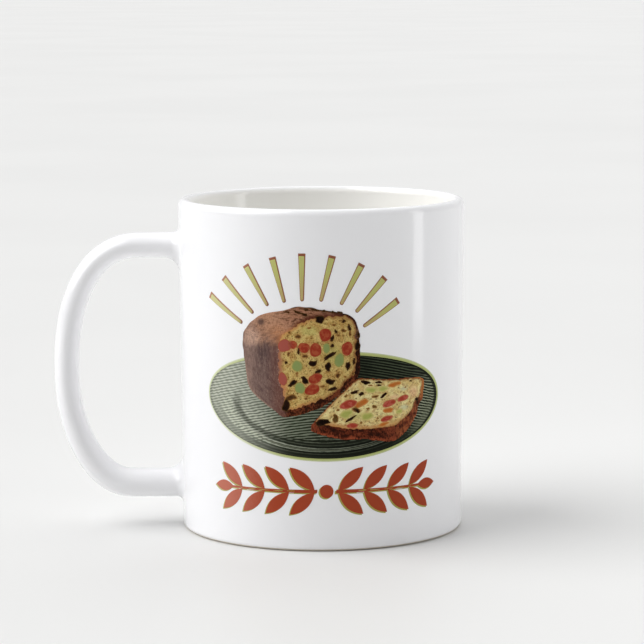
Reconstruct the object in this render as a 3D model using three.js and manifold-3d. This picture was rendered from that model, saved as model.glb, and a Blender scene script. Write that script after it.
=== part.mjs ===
// A glazed ceramic mug: a straight-sided cup with a rounded lip and one D-shaped handle.
// Millimetres, +Z up. The origin is on the cup's axis, in the plane it stands on.
// The handle is towards -X, and the decorated side of the cup faces -Y.
import * as THREE from 'three';
import { mergeVertices } from 'three/addons/utils/BufferGeometryUtils.js';
import Module from 'manifold-3d';

// Cup, outside
const CUP_HEIGHT = 95;
const RIM_RADIUS = 41; // just under the lip
const FOOT_RADIUS = 40.3; // just above the foot's corner, so the side has a slight draft
const FOOT_CORNER = 1.4;

// Lip: half an ellipse, standing on the top of the wall
const LIP_HALF_WIDTH = 1.7;
const LIP_RISE = 2.2;

// Cup, inside: the wall thickens downwards from the lip
const SHOULDER_DEPTH = 26; // how far below the lip the wall reaches its full thickness
const SHOULDER_RADIUS = 36.5;
const WELL_RADIUS = 36; // at the top of the round corner inside the bottom
const WELL_CORNER = 9;
const FLOOR_THICKNESS = 7;

// Handle: the line down the middle of its bar, in the plane y = 0
const UPPER_ARM_Z = 81.5;
const LOWER_ARM_Z = 12.2;
const WIDEST_Z = 45.1;
const REACH = 73.7; // from the axis to the middle of the grip
const UPPER_BEND_X = 51.9; // where the straight upper arm ends
const LOWER_BEND_X = 55.3;
const UPPER_FULLNESS = 2.3; // exponent of the bend's superellipse: 2 is an ellipse
const LOWER_FULLNESS = 2;

// Handle: the bar's elliptic section
const BAR_HALF_WIDTH = 6; // across, along Y
const UPPER_HALF_DEPTH = 3.6; // in the plane of the handle
const GRIP_HALF_DEPTH = 3.6;
const LOWER_HALF_DEPTH = 4.1;

// Fillets where the bar meets the cup
const INNER_FILLET = 4.5; // on the sides of the arms that face each other
const OUTER_FILLET = 1.8;
const SIDE_FILLET = 2.5;
const ROOT_DEPTH = 1.6; // how far the bar runs into the cup's wall

// Facets
const CUP_SIDES = 80;
const BAR_SIDES = 20;
const BEND_STEPS = 16; // in each of the two bends
const ARM_STEPS = 2;
const FILLET_STEPS = [-ROOT_DEPTH, 0.1, 0.5, 1.1, 1.9, 3.0, INNER_FILLET]; // out from the wall
const CURVE_DIVISIONS = 4; // in each round corner of the cup's profile

const QUARTER_TURN = Math.PI / 2;

const glaze = new THREE.MeshStandardMaterial({ color: 0xf3f2ee, roughness: 0.12, metalness: 0 });

const wasm = await Module();
wasm.setup();

// One closed solid from a closed geometry. Only positions are kept, and the triangles that
// shrink to a line at a pole are left out.
function solidFrom(geometry) {
  const bare = geometry.clone();
  bare.deleteAttribute('normal');
  bare.deleteAttribute('uv');
  const merged = mergeVertices(bare);
  const corners = merged.index.array;
  const kept = [];
  for (let i = 0; i < corners.length; i += 3) {
    const [a, b, c] = corners.slice(i, i + 3);
    if (a !== b && b !== c && c !== a) kept.push(a, b, c);
  }
  return new wasm.Manifold(new wasm.Mesh({
    numProp: 3,
    vertProperties: new Float32Array(merged.attributes.position.array),
    triVerts: new Uint32Array(kept),
  }));
}

function geometryFrom(solid) {
  const mesh = solid.getMesh();
  const geometry = new THREE.BufferGeometry();
  geometry.setAttribute('position', new THREE.BufferAttribute(mesh.vertProperties, mesh.numProp));
  geometry.setIndex(new THREE.BufferAttribute(mesh.triVerts, 1));
  geometry.computeVertexNormals();
  return geometry;
}

// The cup's section, as (radius, height), from the middle of the base round to the middle of
// the floor inside.
function cupProfile() {
  const lipRadius = RIM_RADIUS - LIP_HALF_WIDTH;
  const lipBase = CUP_HEIGHT - LIP_RISE;
  const wellTop = FLOOR_THICKNESS + WELL_CORNER;
  const path = new THREE.Path();
  path.moveTo(0, 0);
  path.lineTo(FOOT_RADIUS - FOOT_CORNER, 0);
  path.absarc(FOOT_RADIUS - FOOT_CORNER, FOOT_CORNER, FOOT_CORNER, -QUARTER_TURN, 0, false);
  path.lineTo(RIM_RADIUS, lipBase);
  path.absellipse(lipRadius, lipBase, LIP_HALF_WIDTH, LIP_RISE, 0, Math.PI, false, 0);
  path.lineTo(SHOULDER_RADIUS, lipBase - SHOULDER_DEPTH);
  path.lineTo(WELL_RADIUS, wellTop);
  path.absarc(WELL_RADIUS - WELL_CORNER, wellTop, WELL_CORNER, 0, -QUARTER_TURN, true);
  path.lineTo(0, FLOOR_THICKNESS);
  return path.getPoints(CURVE_DIVISIONS);
}

function cupSolid() {
  const cup = new THREE.LatheGeometry(cupProfile(), CUP_SIDES);
  cup.rotateX(QUARTER_TURN);
  return solidFrom(cup);
}

// A quarter of a superellipse in the plane y = 0, from the end of a straight arm round to the
// widest point of the handle.
class Bend extends THREE.Curve {
  constructor(armX, armZ, fullness) {
    super();
    this.armX = armX;
    this.armZ = armZ;
    this.fullness = fullness;
    this.arcLengthDivisions = 600;
  }

  getPoint(t, target = new THREE.Vector3()) {
    const along = Math.sin(t * QUARTER_TURN) ** (2 / this.fullness);
    const off = Math.cos(t * QUARTER_TURN) ** (2 / this.fullness);
    const x = -this.armX - (REACH - this.armX) * along;
    const z = WIDEST_Z + (this.armZ - WIDEST_Z) * off;
    return target.set(x, 0, z);
  }
}

// How much a fillet of this radius widens the bar, at a distance out from the wall.
function filletGrowth(radius, distance) {
  const left = radius - THREE.MathUtils.clamp(distance, 0, radius);
  return radius - Math.sqrt(radius * radius - left * left);
}

// How far the wall falls back from its nearest point, at a distance y to the side.
function wallFallback(y) {
  return FOOT_RADIUS - Math.sqrt(FOOT_RADIUS * FOOT_RADIUS - y * y);
}

// One ring of the bar: an ellipse round the point, across the direction it runs in. The angle
// starts at the side that faces out of the handle's loop. wallGap is the distance to the cup.
function barRing(point, outward, halfDepth, wallGap) {
  const ring = [];
  for (let i = 0; i < BAR_SIDES; i += 1) {
    const angle = (i / BAR_SIDES) * 2 * Math.PI;
    const across = Math.sin(angle);
    const out = Math.cos(angle);
    const gap = wallGap + wallFallback(BAR_HALF_WIDTH * across);
    const fillet = out > 0 ? OUTER_FILLET : INNER_FILLET;
    const width = (BAR_HALF_WIDTH + filletGrowth(SIDE_FILLET, gap)) * across;
    const depth = (halfDepth + filletGrowth(fillet, gap)) * out;
    ring.push(point.clone().addScaledVector(outward, depth).add(new THREE.Vector3(0, width, 0)));
  }
  return ring;
}

// The rings of one half of the bar, from its root in the wall to the widest point.
function halfOfBar(armX, armZ, fullness, rootHalfDepth) {
  const wallX = THREE.MathUtils.lerp(FOOT_RADIUS, RIM_RADIUS, armZ / CUP_HEIGHT);
  const side = Math.sign(armZ - WIDEST_Z);
  const up = new THREE.Vector3(0, 0, side);
  const rings = [];
  for (const gap of FILLET_STEPS) {
    const point = new THREE.Vector3(-wallX - gap, 0, armZ);
    rings.push(barRing(point, up, rootHalfDepth, gap));
  }
  const armStart = wallX + INNER_FILLET;
  for (let i = 1; i <= ARM_STEPS; i += 1) {
    const x = THREE.MathUtils.lerp(armStart, armX, i / (ARM_STEPS + 1));
    rings.push(barRing(new THREE.Vector3(-x, 0, armZ), up, rootHalfDepth, x - wallX));
  }
  const bend = new Bend(armX, armZ, fullness);
  for (let i = 0; i <= BEND_STEPS; i += 1) {
    const t = i / BEND_STEPS;
    const point = bend.getPointAt(t);
    const run = i === 0 ? new THREE.Vector3(-1, 0, 0) : bend.getTangentAt(t);
    const outward = new THREE.Vector3(run.z, 0, -run.x).multiplyScalar(side);
    const height = (point.z - WIDEST_Z) / (armZ - WIDEST_Z);
    const halfDepth = THREE.MathUtils.lerp(GRIP_HALF_DEPTH, rootHalfDepth, height * height);
    rings.push(barRing(point, outward, halfDepth, -point.x - wallX));
  }
  return rings;
}

// A closed skin over a row of rings, with a fan over each end.
function skin(rings) {
  const points = rings.flat();
  const sides = rings[0].length;
  const faces = [];
  for (let row = 0; row + 1 < rings.length; row += 1) {
    for (let i = 0; i < sides; i += 1) {
      const a = row * sides + i;
      const b = row * sides + ((i + 1) % sides);
      faces.push(a, b, b + sides, a, b + sides, a + sides);
    }
  }
  const lastRow = (rings.length - 1) * sides;
  for (let i = 1; i + 1 < sides; i += 1) {
    faces.push(0, i + 1, i, lastRow, lastRow + i, lastRow + i + 1);
  }
  const geometry = new THREE.BufferGeometry().setFromPoints(points);
  geometry.setIndex(faces);
  return geometry;
}

function handleSolid() {
  const upper = halfOfBar(UPPER_BEND_X, UPPER_ARM_Z, UPPER_FULLNESS, UPPER_HALF_DEPTH);
  const lower = halfOfBar(LOWER_BEND_X, LOWER_ARM_Z, LOWER_FULLNESS, LOWER_HALF_DEPTH);
  lower.pop(); // the widest ring is the last of both halves
  return solidFrom(skin([...upper, ...lower.reverse()]));
}

const mug = new THREE.Mesh(geometryFrom(cupSolid().add(handleSolid())), glaze);
mug.name = 'mug';

const model = new THREE.Group();
model.add(mug);

export default model;
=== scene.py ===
import math

import bmesh
import bpy
import numpy as np
from bpy.props import FloatProperty, FloatVectorProperty, IntProperty, PointerProperty
from mathutils import Matrix, Vector


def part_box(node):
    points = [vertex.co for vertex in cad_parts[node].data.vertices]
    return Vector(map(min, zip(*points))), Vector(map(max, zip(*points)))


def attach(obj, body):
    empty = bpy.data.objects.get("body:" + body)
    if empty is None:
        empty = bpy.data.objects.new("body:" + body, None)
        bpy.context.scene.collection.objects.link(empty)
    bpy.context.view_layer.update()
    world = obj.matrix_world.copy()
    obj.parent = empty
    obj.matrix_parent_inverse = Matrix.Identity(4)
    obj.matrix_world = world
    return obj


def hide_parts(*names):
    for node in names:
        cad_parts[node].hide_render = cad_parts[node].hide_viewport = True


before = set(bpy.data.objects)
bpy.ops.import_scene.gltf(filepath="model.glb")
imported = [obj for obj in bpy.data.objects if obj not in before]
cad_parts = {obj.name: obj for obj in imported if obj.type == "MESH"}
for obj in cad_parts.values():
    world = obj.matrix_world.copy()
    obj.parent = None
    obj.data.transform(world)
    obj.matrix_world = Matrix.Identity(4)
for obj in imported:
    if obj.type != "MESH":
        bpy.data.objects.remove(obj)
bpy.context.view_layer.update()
MUG_LOW, MUG_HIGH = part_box("mug")

bl_info = {
    "name": "Printed Mug",
    "version": (1, 0, 0),
    "blender": (4, 5, 0),
    "location": "View3D > Sidebar > Mug",
    "description": "Builds a glazed mug with a printed picture of a fruit cake on a plate",
    "category": "Add Mesh",
}

MM = 0.001

# Mesh fineness
CUP_COLUMNS = 288
WALL_ROW = 1.1 * MM  # height of a row of faces on the cup's outside
FLARE_ROW = 1.3 * MM  # the same inside, on the flare under the lip
BASE_RING = 3 * MM  # the same on the base, the floor and the wall inside
FOOT_POINTS, LIP_POINTS, WELL_POINTS = 9, 25, 17  # in the profile's round corners
WINDOW_COLUMNS = 24  # the patch of wall round a root of the handle, in faces
WINDOW_ROWS = 18
FILLET_ROWS = 10
APRON_ROWS = 5  # from a fillet's foot to the edge of its patch of wall
BEND_ROWS = 84
ARM_ROWS = 8
BEND_SAMPLES = 4000

INSIDE_EDGE = (38.6 * MM, 37.6 * MM)  # radii between which the glaze turns to its painted warm light

# Print
PRINT_RADIUS = 40.8  # mm, the cylinder that the print is laid out on
LAYER = 0.025 * MM  # each colour field stands this much above the one under it
ROOT = 0.05 * MM  # how far a field reaches into the glaze
CURVE_SAMPLES = 40  # between two corners of a curved outline
EDGE_WAVES = 9  # sine waves in a rough edge
BAR_POINTS, LEAF_POINTS, PLATE_POINTS = 96, 60, 240  # in their outlines
SHEET_SIDES = (0.01, 0.98)  # a field's flat sheet: start and width
OUTER_STRIP, HIDDEN_STRIP = (0.25, 0.74), (0.01, 0.2)  # start and height of its two strips
SHEET_GAP = 0.2  # mm, the width of the walls on the sheet
LEVEL_FACE = 0.7  # a face that looks outwards by more than this is no wall
INK_GLOSS = 0.04  # against the glaze's 0.5, as the print shines much less


def seen(red, green, blue):
    """The linear colour of a screen colour given from 0 to 255, by the sRGB curve."""
    values = np.array([red, green, blue]) / 255
    return tuple(np.where(values <= 0.04045, values / 12.92, ((values + 0.055) / 1.055) ** 2.4))


def length(name, text, default):
    """A property in metres."""
    return FloatProperty(name=name, description=text, default=default, unit="LENGTH", precision=5)


def amount(name, text, default):
    """A property without a unit, or in the unit that its text gives."""
    return FloatProperty(name=name, description=text, default=default)


def slant(name, text, degrees):
    """A property for an angle, given in degrees and kept in radians."""
    default = math.radians(degrees)
    return FloatProperty(name=name, description=text, default=default, subtype="ANGLE")


def colour(name, text, default):
    """A property for a linear colour."""
    return FloatVectorProperty(
        name=name, description=text, default=default, subtype="COLOR", size=3, min=0, max=1
    )


# --- Sizes and colours ---


class CupSizes(bpy.types.PropertyGroup):
    """The cup's section"""

    height: length("Height", "From the base to the top of the lip", MUG_HIGH.z)
    rim_radius: length("Rim radius", "Outside radius under the lip", MUG_HIGH.x)
    foot_radius: length("Foot radius", "Outside radius above the foot's corner", 40.3 * MM)
    foot_corner: length("Foot corner", "Radius of the corner at the foot", 1.4 * MM)
    lip_half_width: length("Lip half width", "Half the wall at the lip", 1.7 * MM)
    lip_rise: length("Lip rise", "Height of the lip's rounding", 2.2 * MM)
    flare_depth: length("Flare depth", "Where the flare under the lip ends", 8 * MM)
    flare_radius: length("Flare radius", "Inside radius at that depth", 36.6 * MM)
    well_radius: length("Well radius", "Inside radius above the bottom corner", 36 * MM)
    well_corner: length("Well corner", "Radius of the corner inside the bottom", 9 * MM)
    floor_thickness: length("Floor thickness", "Thickness of the bottom", 7 * MM)


class HandleSizes(bpy.types.PropertyGroup):
    """The handle's line and section"""

    upper_arm: length("Upper arm", "Height of the upper arm's middle", 81.5 * MM)
    lower_arm: length("Lower arm", "Height of the lower arm's middle", 12.2 * MM)
    widest: length("Widest", "Height at which the handle reaches furthest", 45.1 * MM)
    grip_depth: length("Grip half depth", "Half the bar's depth at the grip", 3.6 * MM)
    upper_depth: length("Upper half depth", "Half the upper arm's depth", 3.6 * MM)
    lower_depth: length("Lower half depth", "Half the lower arm's depth", 4.1 * MM)
    half_width: length("Half width", "Half the bar's width, across the handle", 6 * MM)
    upper_bend: length("Upper bend", "Distance from the axis where the upper arm ends", 51.9 * MM)
    lower_bend: length("Lower bend", "Distance from the axis where the lower arm ends", 55.3 * MM)
    upper_fullness: amount("Upper fullness", "Exponent of the upper bend, 2 is an ellipse", 2.3)
    lower_fullness: amount("Lower fullness", "Exponent of the lower bend, 2 is an ellipse", 2)
    inner_fillet: length("Inner fillet", "Fillet between an arm and the cup, inside", 4.5 * MM)
    outer_fillet: length("Outer fillet", "The same on the outer side", 1.8 * MM)
    side_fillet: length("Side fillet", "The same at the sides", 2.6 * MM)


class PrintSizes(bpy.types.PropertyGroup):
    """Main sizes of the printed picture, in millimetres round the cup and up it"""

    plate_half_width: amount("Plate half width", "Half the plate's width, in mm", 37.2)
    plate_half_height: amount("Plate half height", "Half the plate's height, in mm", 15.45)
    plate_line: amount("Plate line", "Width of the pale line round the plate, in mm", 0.9)
    ray_width: amount("Ray width", "Width of a ray's outer end, in mm", 2.05)
    leaves: IntProperty(
        name="Leaves", description="Pairs of leaves on each side of the border", default=4
    )


class PrintColours(bpy.types.PropertyGroup):
    """Colours of the glaze and the print"""

    glaze: colour("Glaze", "The mug's white glaze", seen(249, 249, 251))
    # Painted light: a lighter, warmer glaze inside the cup that stands in for the warm light there
    glaze_warm_light: colour("Warm glaze", "The thicker glaze inside", seen(255, 254, 250))
    foot: colour("Foot", "The bare ring the mug stands on", seen(214, 206, 192))
    line: colour("Plate line", "The pale line round the plate", seen(186, 194, 122))
    # painted sheen: this paler colour is laid over the line's left part, for the glaze's reflection
    # of the key light
    line_pale: colour("Pale plate line", "Outer edge of that line", seen(216, 221, 184))
    # partly painted sheen: the glaze's reflection of the key light also pales the print's left
    plate_light: colour("Plate light", "Lit side of the plate", seen(196, 199, 184))
    plate_middle: colour("Plate middle", "Middle of the plate", seen(124, 131, 112))
    plate_dark: colour("Plate dark", "Shaded side of the plate", seen(70, 79, 60))
    crust: colour("Crust", "The baked side", seen(127, 103, 95))
    crust_light: colour("Light crust", "The baked top", seen(190, 142, 112))
    crust_orange: colour("Orange crust", "Crust next to the crumb", seen(202, 140, 84))
    crust_dark: colour("Dark crust", "Where the crust is darkest", seen(34, 12, 4))
    char: colour("Char", "Black streaks in the slice's crust", (0.012, 0.004, 0.002))
    crumb: colour("Crumb", "The cut face", seen(212, 186, 114))
    crumb_pale: colour("Pale crumb", "The slice's palest crumb", seen(236, 222, 158))
    crumb_tan: colour("Tan crumb", "Browner crumb", seen(172, 124, 68))
    crumb_dark: colour("Dark crumb", "Pores in the cut face", seen(84, 50, 18))
    cherry: colour("Cherry", "Red fruit", seen(150, 52, 34))
    cherry_light: colour("Light cherry", "Paler red fruit", seen(168, 80, 52))
    green: colour("Green fruit", "Green fruit", seen(134, 149, 88))
    green_light: colour("Light green", "Paler green fruit", seen(172, 174, 92))
    orange: colour("Orange peel", "Orange fruit", seen(190, 104, 44))
    raisin: colour("Raisin", "Raisins", seen(14, 4, 1))
    raisin_light: colour("Light raisin", "Edges of the raisins", seen(88, 58, 28))
    ray: colour("Ray", "Fill of the rays", seen(192, 192, 116))
    ray_edge: colour("Ray edge", "Edges of the rays", seen(146, 92, 70))
    leaf: colour("Leaf", "The border's leaves", seen(168, 72, 46))
    leaf_edge: colour("Leaf edge", "The border's shadow line", seen(172, 168, 88))


class StageSettings(bpy.types.PropertyGroup):
    """Camera, lights and floor"""

    distance: length("Distance", "From the mug's axis to the camera", 779 * MM)
    camera_height: length("Camera height", "Above the floor", 162.1 * MM)
    pitch: slant("Pitch", "How far the camera looks down", 7.55)
    roll: slant("Roll", "Turn about the view", -0.26)
    lens: amount("Lens", "Focal length in mm", 152.2)
    key: amount("Key", "Strength of the soft light on the left", 2.75)
    back: amount("Back", "The high light behind the mug", 0.42)
    strip: amount("Strip", "Brightness of the strip light", 3.0)
    right_wall: amount("Right wall", "Brightness to the right", 0.58)
    back_wall: amount("Back wall", "Brightness behind", 0.66)
    ceiling: amount("Ceiling", "Brightness overhead", 0.3)
    backdrop: amount("Backdrop", "Brightness of the backdrop that is seen", 0.87)
    floor: colour("Floor", "The pale table", seen(228, 228, 227))


# --- Meshes ---


class Skin:
    """Points and faces gathered for one mesh."""

    def __init__(self):
        self.points = []
        self.faces = []
        self.count = 0

    def add(self, grid):
        """Adds a grid of points and returns their numbers in the same layout."""
        flat = np.asarray(grid, float).reshape(-1, 3)
        numbers = self.count + np.arange(len(flat))
        self.points.append(flat)
        self.count += len(flat)
        return numbers.reshape(np.shape(grid)[:-1])

    def quads(self, corners):
        """Adds faces from rows of point numbers."""
        self.faces.extend(np.asarray(corners).reshape(-1, np.shape(corners)[-1]).tolist())

    def bridge(self, loop_a, loop_b):
        """Joins two closed loops of the same number of points with a band of quads."""
        next_a, next_b = np.roll(loop_a, -1), np.roll(loop_b, -1)
        self.quads(np.stack([loop_a, next_a, next_b, loop_b], axis=-1))

    def tube(self, loops):
        """Joins each closed loop to the next."""
        for loop_a, loop_b in zip(loops, loops[1:]):
            self.bridge(loop_a, loop_b)

    def fan(self, loop, middle):
        """Closes a loop with triangles that meet at a middle point."""
        middles = np.full(len(loop), middle)
        self.quads(np.stack([loop, np.roll(loop, -1), middles], axis=-1))

    def mesh(self, name):
        """The gathered points and faces as a mesh."""
        made = bpy.data.meshes.new(name)
        made.from_pydata(np.concatenate(self.points).tolist(), [], self.faces)
        made.update()
        return made


def face_outwards(mesh):
    """Turns every closed shell of the mesh so that its faces point outwards."""
    work = bmesh.new()
    work.from_mesh(mesh)
    bmesh.ops.recalc_face_normals(work, faces=work.faces)
    work.to_mesh(mesh)
    work.free()


def piece(mesh, material):
    """Puts a finished mesh in the scene as a piece of the mug."""
    mesh.materials.append(material)
    made = bpy.data.objects.new(mesh.name, mesh)
    bpy.context.scene.collection.objects.link(made)
    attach(made, "root")
    return made


# --- Materials ---


def maths(operation, reflected=False):
    """The method of a wire that adds one Math node, with the wire second if it is reflected."""

    def method(wire, other):
        first, second = (other, wire) if reflected else (wire, other)
        return wire.recipe.node("ShaderNodeMath", {"operation": operation}, {0: first, 1: second})

    return method


class Wire:
    """An output socket in shader maths: + - * / ** with a wire or a number add Math nodes."""

    def __init__(self, recipe, socket):
        self.recipe, self.socket = recipe, socket

    __add__, __radd__ = maths("ADD"), maths("ADD", reflected=True)
    __sub__, __rsub__ = maths("SUBTRACT"), maths("SUBTRACT", reflected=True)
    __mul__, __rmul__ = maths("MULTIPLY"), maths("MULTIPLY", reflected=True)
    __truediv__, __rtruediv__ = maths("DIVIDE"), maths("DIVIDE", reflected=True)
    __pow__, __rpow__ = maths("POWER"), maths("POWER", reflected=True)


class Recipe:
    """A node tree and the few ways in which its nodes are added."""

    def __init__(self, tree):
        self.tree = tree

    def node(self, kind, settings=None, inputs=None, output=0):
        """Adds a node, its settings first and then its sockets, and returns one of its outputs."""
        made = self.tree.nodes.new(kind)
        for name, value in (settings or {}).items():
            setattr(made, name, value)
        for key, value in (inputs or {}).items():
            self.plug(made.inputs[key], value)
        return Wire(self, made.outputs[output])

    def plug(self, socket, value):
        """Links a wire to a socket, or sets the socket to a number or a colour."""
        if isinstance(value, Wire):
            self.tree.links.new(value.socket, socket)
        elif socket.type == "RGBA":
            socket.default_value = (*value, 1)
        else:
            socket.default_value = value

    def mix(self, share, first, second):
        """The first colour where the share is 0 and the second where it is 1."""
        inputs = {0: share, 6: first, 7: second}
        return self.node("ShaderNodeMix", {"data_type": "RGBA"}, inputs, 2)

    def ease(self, value, low, high, start=0.0, end=1.0):
        """Goes smoothly from start to end as the value goes from low to high."""
        settings = {"interpolation_type": "SMOOTHSTEP"}
        inputs = {0: value, 1: low, 2: high, 3: start, 4: end}
        return self.node("ShaderNodeMapRange", settings, inputs)

    def noise(self, place, scale, detail=2.0, roughness=0.5):
        """Soft noise from 0 to 1, mostly near 0.5."""
        inputs = {"Vector": place, "Scale": scale, "Detail": detail, "Roughness": roughness}
        return self.node("ShaderNodeTexNoise", {}, inputs)

    def sine(self, value):
        """The sine of a value in radians."""
        return self.node("ShaderNodeMath", {"operation": "SINE"}, {0: value})

    def positive(self, value):
        """The value, or 0 where it is below 0."""
        return self.node("ShaderNodeMath", {"operation": "MAXIMUM"}, {0: value, 1: 0.0})

    def along(self, place, axis):
        """One coordinate of a place: 0, 1 or 2."""
        return self.node("ShaderNodeSeparateXYZ", {}, {0: place}, axis)


class Finish(Recipe):
    """A glossy material: a Principled shader and the nodes behind it."""

    def __init__(self, name, gloss=0.5):
        self.material = bpy.data.materials.new(name)
        self.material.use_nodes = True
        super().__init__(self.material.node_tree)
        self.shader = next(n for n in self.tree.nodes if n.type == "BSDF_PRINCIPLED")
        self.set("Specular IOR Level", gloss)

    def set(self, name, value):
        """Gives one of the shader's sockets a wire, a number or a colour."""
        self.plug(self.shader.inputs[name], value)

    def object_place(self):
        """Coordinates in metres, fixed to the piece."""
        return self.node("ShaderNodeTexCoord", {}, {}, 3)


class Ink(Finish):
    """A printed colour under the glaze's gloss, on the flat layout in millimetres.

    The layout is round the cup, up it, and from a field's edge inwards. The colour starts as a
    ground, and each further colour is laid over what is there.
    """

    def __init__(self, name, ground=None):
        super().__init__(name, INK_GLOSS)
        self.ground = ground
        self.place = self.node("ShaderNodeAttribute", {"attribute_name": "layout"}, {}, 1)
        self.across, self.up, self.inwards = (self.along(self.place, k) for k in (0, 1, 2))

    def lay(self, share, tint):
        """Lays a colour over the ground, as strongly as the share says."""
        self.ground = self.mix(share, self.ground, tint)

    def sideways(self, low, high, start=0.0, end=1.0):
        """Goes smoothly from start to end between two places round the cup."""
        return self.ease(self.across, low, high, start, end)

    def upwards(self, low, high, start=0.0, end=1.0):
        """Goes smoothly from start to end between two heights."""
        return self.ease(self.up, low, high, start, end)

    def mottle(self, scale, detail=2.0, roughness=0.5):
        """Noise on the layout, at one scale."""
        return self.noise(self.place, scale, detail, roughness)

    def streaks(self, scale, detail=2.0, roughness=0.5, shift=(0, 0)):
        """Noise on the layout, with a scale across it and another up it."""
        return self.noise(self.stretch(scale, shift), 1, detail, roughness)

    def stretch(self, scale, shift=(0, 0)):
        """The layout multiplied by a scale across it and another up it, and shifted."""
        inputs = {"Vector": self.place, "Scale": (*scale, 1), "Location": (*shift, 0)}
        return self.node("ShaderNodeMapping", {}, inputs)

    def cells(self, scale, shift=(0, 0)):
        """The distance to the nearest of scattered points on the stretched layout."""
        inputs = {"Vector": self.stretch(scale, shift), "Scale": 1}
        return self.node("ShaderNodeTexVoronoi", {}, inputs)

    def spot(self, x, z, half_width, half_height, softness=0.8):
        """1 inside an ellipse on the layout and 0 outside it, with a soft edge."""
        off = ((self.across - x) / half_width, (self.up - z) / half_height)
        distance = (off[0] * off[0] + off[1] * off[1]) ** 0.5
        return self.ease(distance, 1, 1 - softness, 0, 1)

    def spots(self, *places, softness=0.8):
        """The sum of spots, each given as (x, z, half width, half height)."""
        return sum(self.spot(*place, softness) for place in places)

    def done(self, grain):
        """Puts in the colour, and a smoothness that changes a little with the grain."""
        self.set("Base Color", self.ground)
        self.set("Roughness", 0.18 + 0.06 * grain)
        return self.material


def glaze_finish(colours, foot_top):
    """White glaze: a little uneven in colour and smoothness, bare and matt under the foot."""
    finish = Finish("white_glaze")
    place = finish.object_place()
    broad = finish.noise(place, 28, detail=1)
    fine = finish.noise(place, 900, detail=1)
    height = finish.along(place, 2)
    bare = finish.ease(height, 0.3 * foot_top, 0.6 * foot_top, 1, 0)
    across, back = (finish.along(place, k) for k in (0, 1))
    radius = (across * across + back * back) ** 0.5
    # painted warm light: inside the cup the glaze turns lighter and warmer, unevenly
    inside = finish.ease(radius, *INSIDE_EDGE)
    warm_light_share = inside * finish.ease(broad, 0.2, 0.7, 0.85, 1)
    glazed = finish.mix(warm_light_share, colours.glaze, colours.glaze_warm_light)
    finish.set("Base Color", finish.mix(bare, glazed, colours.foot))
    finish.set("Roughness", 0.1 + 0.05 * broad + 0.6 * bare)
    ripple = {"Strength": 0.12, "Distance": 0.00004, "Height": broad + 0.08 * fine}
    finish.set("Normal", finish.node("ShaderNodeBump", {}, ripple))
    return finish.material


# --- Cup and handle ---


def steps(first, last, step):
    """Evenly spaced values from first to last, about a step apart."""
    return np.linspace(first, last, max(2, round(abs(last - first) / step) + 1))


def arc(middle, radii, start, end, count):
    """Points of an elliptic arc: middle + (radius cos a, radius sin a), as a goes start to end."""
    angle = np.radians(np.linspace(start, end, count))
    return np.stack([middle[0] + radii[0] * np.cos(angle), middle[1] + radii[1] * np.sin(angle)], 1)


def straight(start, end, step):
    """Points of a straight line, about a step apart, without its ends."""
    count = max(2, round(math.dist(start, end) / step) + 1)
    return np.linspace(start, end, count)[1:-1]


def wall_radius(cup, height):
    """The cup's outside radius: a straight taper from the foot's corner to the lip's start."""
    share = (height - cup.foot_corner) / (cup.height - cup.lip_rise - cup.foot_corner)
    return cup.foot_radius + (cup.rim_radius - cup.foot_radius) * share


def cup_profile(cup):
    """The cup's half section as (radius, height), without the two points on the axis.

    It runs out over the base, round the foot's corner, up the wall in even rows, over the
    lip's half ellipse and down the inside to the floor. Returns it with the numbers of the
    wall's first and last rows.
    """
    lip_base = cup.height - cup.lip_rise
    lip_middle = (cup.rim_radius - cup.lip_half_width, lip_base)
    flare = (cup.flare_radius, lip_base - cup.flare_depth)
    well_top = cup.floor_thickness + cup.well_corner
    foot = (cup.foot_radius - cup.foot_corner, cup.foot_corner)
    well_middle = (cup.well_radius - cup.well_corner, well_top)
    radii = steps(BASE_RING, foot[0], BASE_RING)
    base = np.stack([radii, np.zeros(len(radii))], 1)
    corner = arc(foot, (cup.foot_corner, cup.foot_corner), -90, 0, FOOT_POINTS)[1:]
    heights = steps(cup.foot_corner, lip_base, WALL_ROW)[1:]
    wall = np.stack([wall_radius(cup, heights), heights], 1)
    lip = arc(lip_middle, (cup.lip_half_width, cup.lip_rise), 0, 180, LIP_POINTS)[1:]
    upper = straight(lip[-1], flare, FLARE_ROW)
    lower = straight(flare, (cup.well_radius, well_top), BASE_RING)
    corner_inside = arc(well_middle, (cup.well_corner, cup.well_corner), 0, -90, WELL_POINTS)
    radii = steps(well_middle[0], BASE_RING, BASE_RING)[1:]
    floor = np.stack([radii, np.full(len(radii), cup.floor_thickness)], 1)
    rows = [base, corner, wall, lip, upper, [flare], lower, corner_inside, floor]
    first = len(base) + len(corner) - 1
    return np.concatenate(rows), first, first + len(wall)


def around(radius, angle, height):
    """Points at a radius and height: (r sin a, -r cos a, h), so a = 0 faces -Y and grows to +X."""
    return np.stack([radius * np.sin(angle), -radius * np.cos(angle), height + 0 * angle], -1)


def window_loop():
    """The edge of a window as (across, out) from -1 to 1, one step for each face along it.

    It starts in the middle of the outer side and turns towards +Y.
    """
    half_columns = WINDOW_COLUMNS // 2
    right = np.arange(0, half_columns) / half_columns
    down = 1 - 2 * np.arange(WINDOW_ROWS) / WINDOW_ROWS
    left = 1 - 2 * np.arange(WINDOW_COLUMNS) / WINDOW_COLUMNS
    up = -down
    one = np.ones
    across = np.concatenate([right, one(WINDOW_ROWS), left, -one(WINDOW_ROWS), right - 1])
    out = np.concatenate([one(half_columns), down, -one(WINDOW_COLUMNS), up, one(half_columns)])
    return across, out


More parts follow.
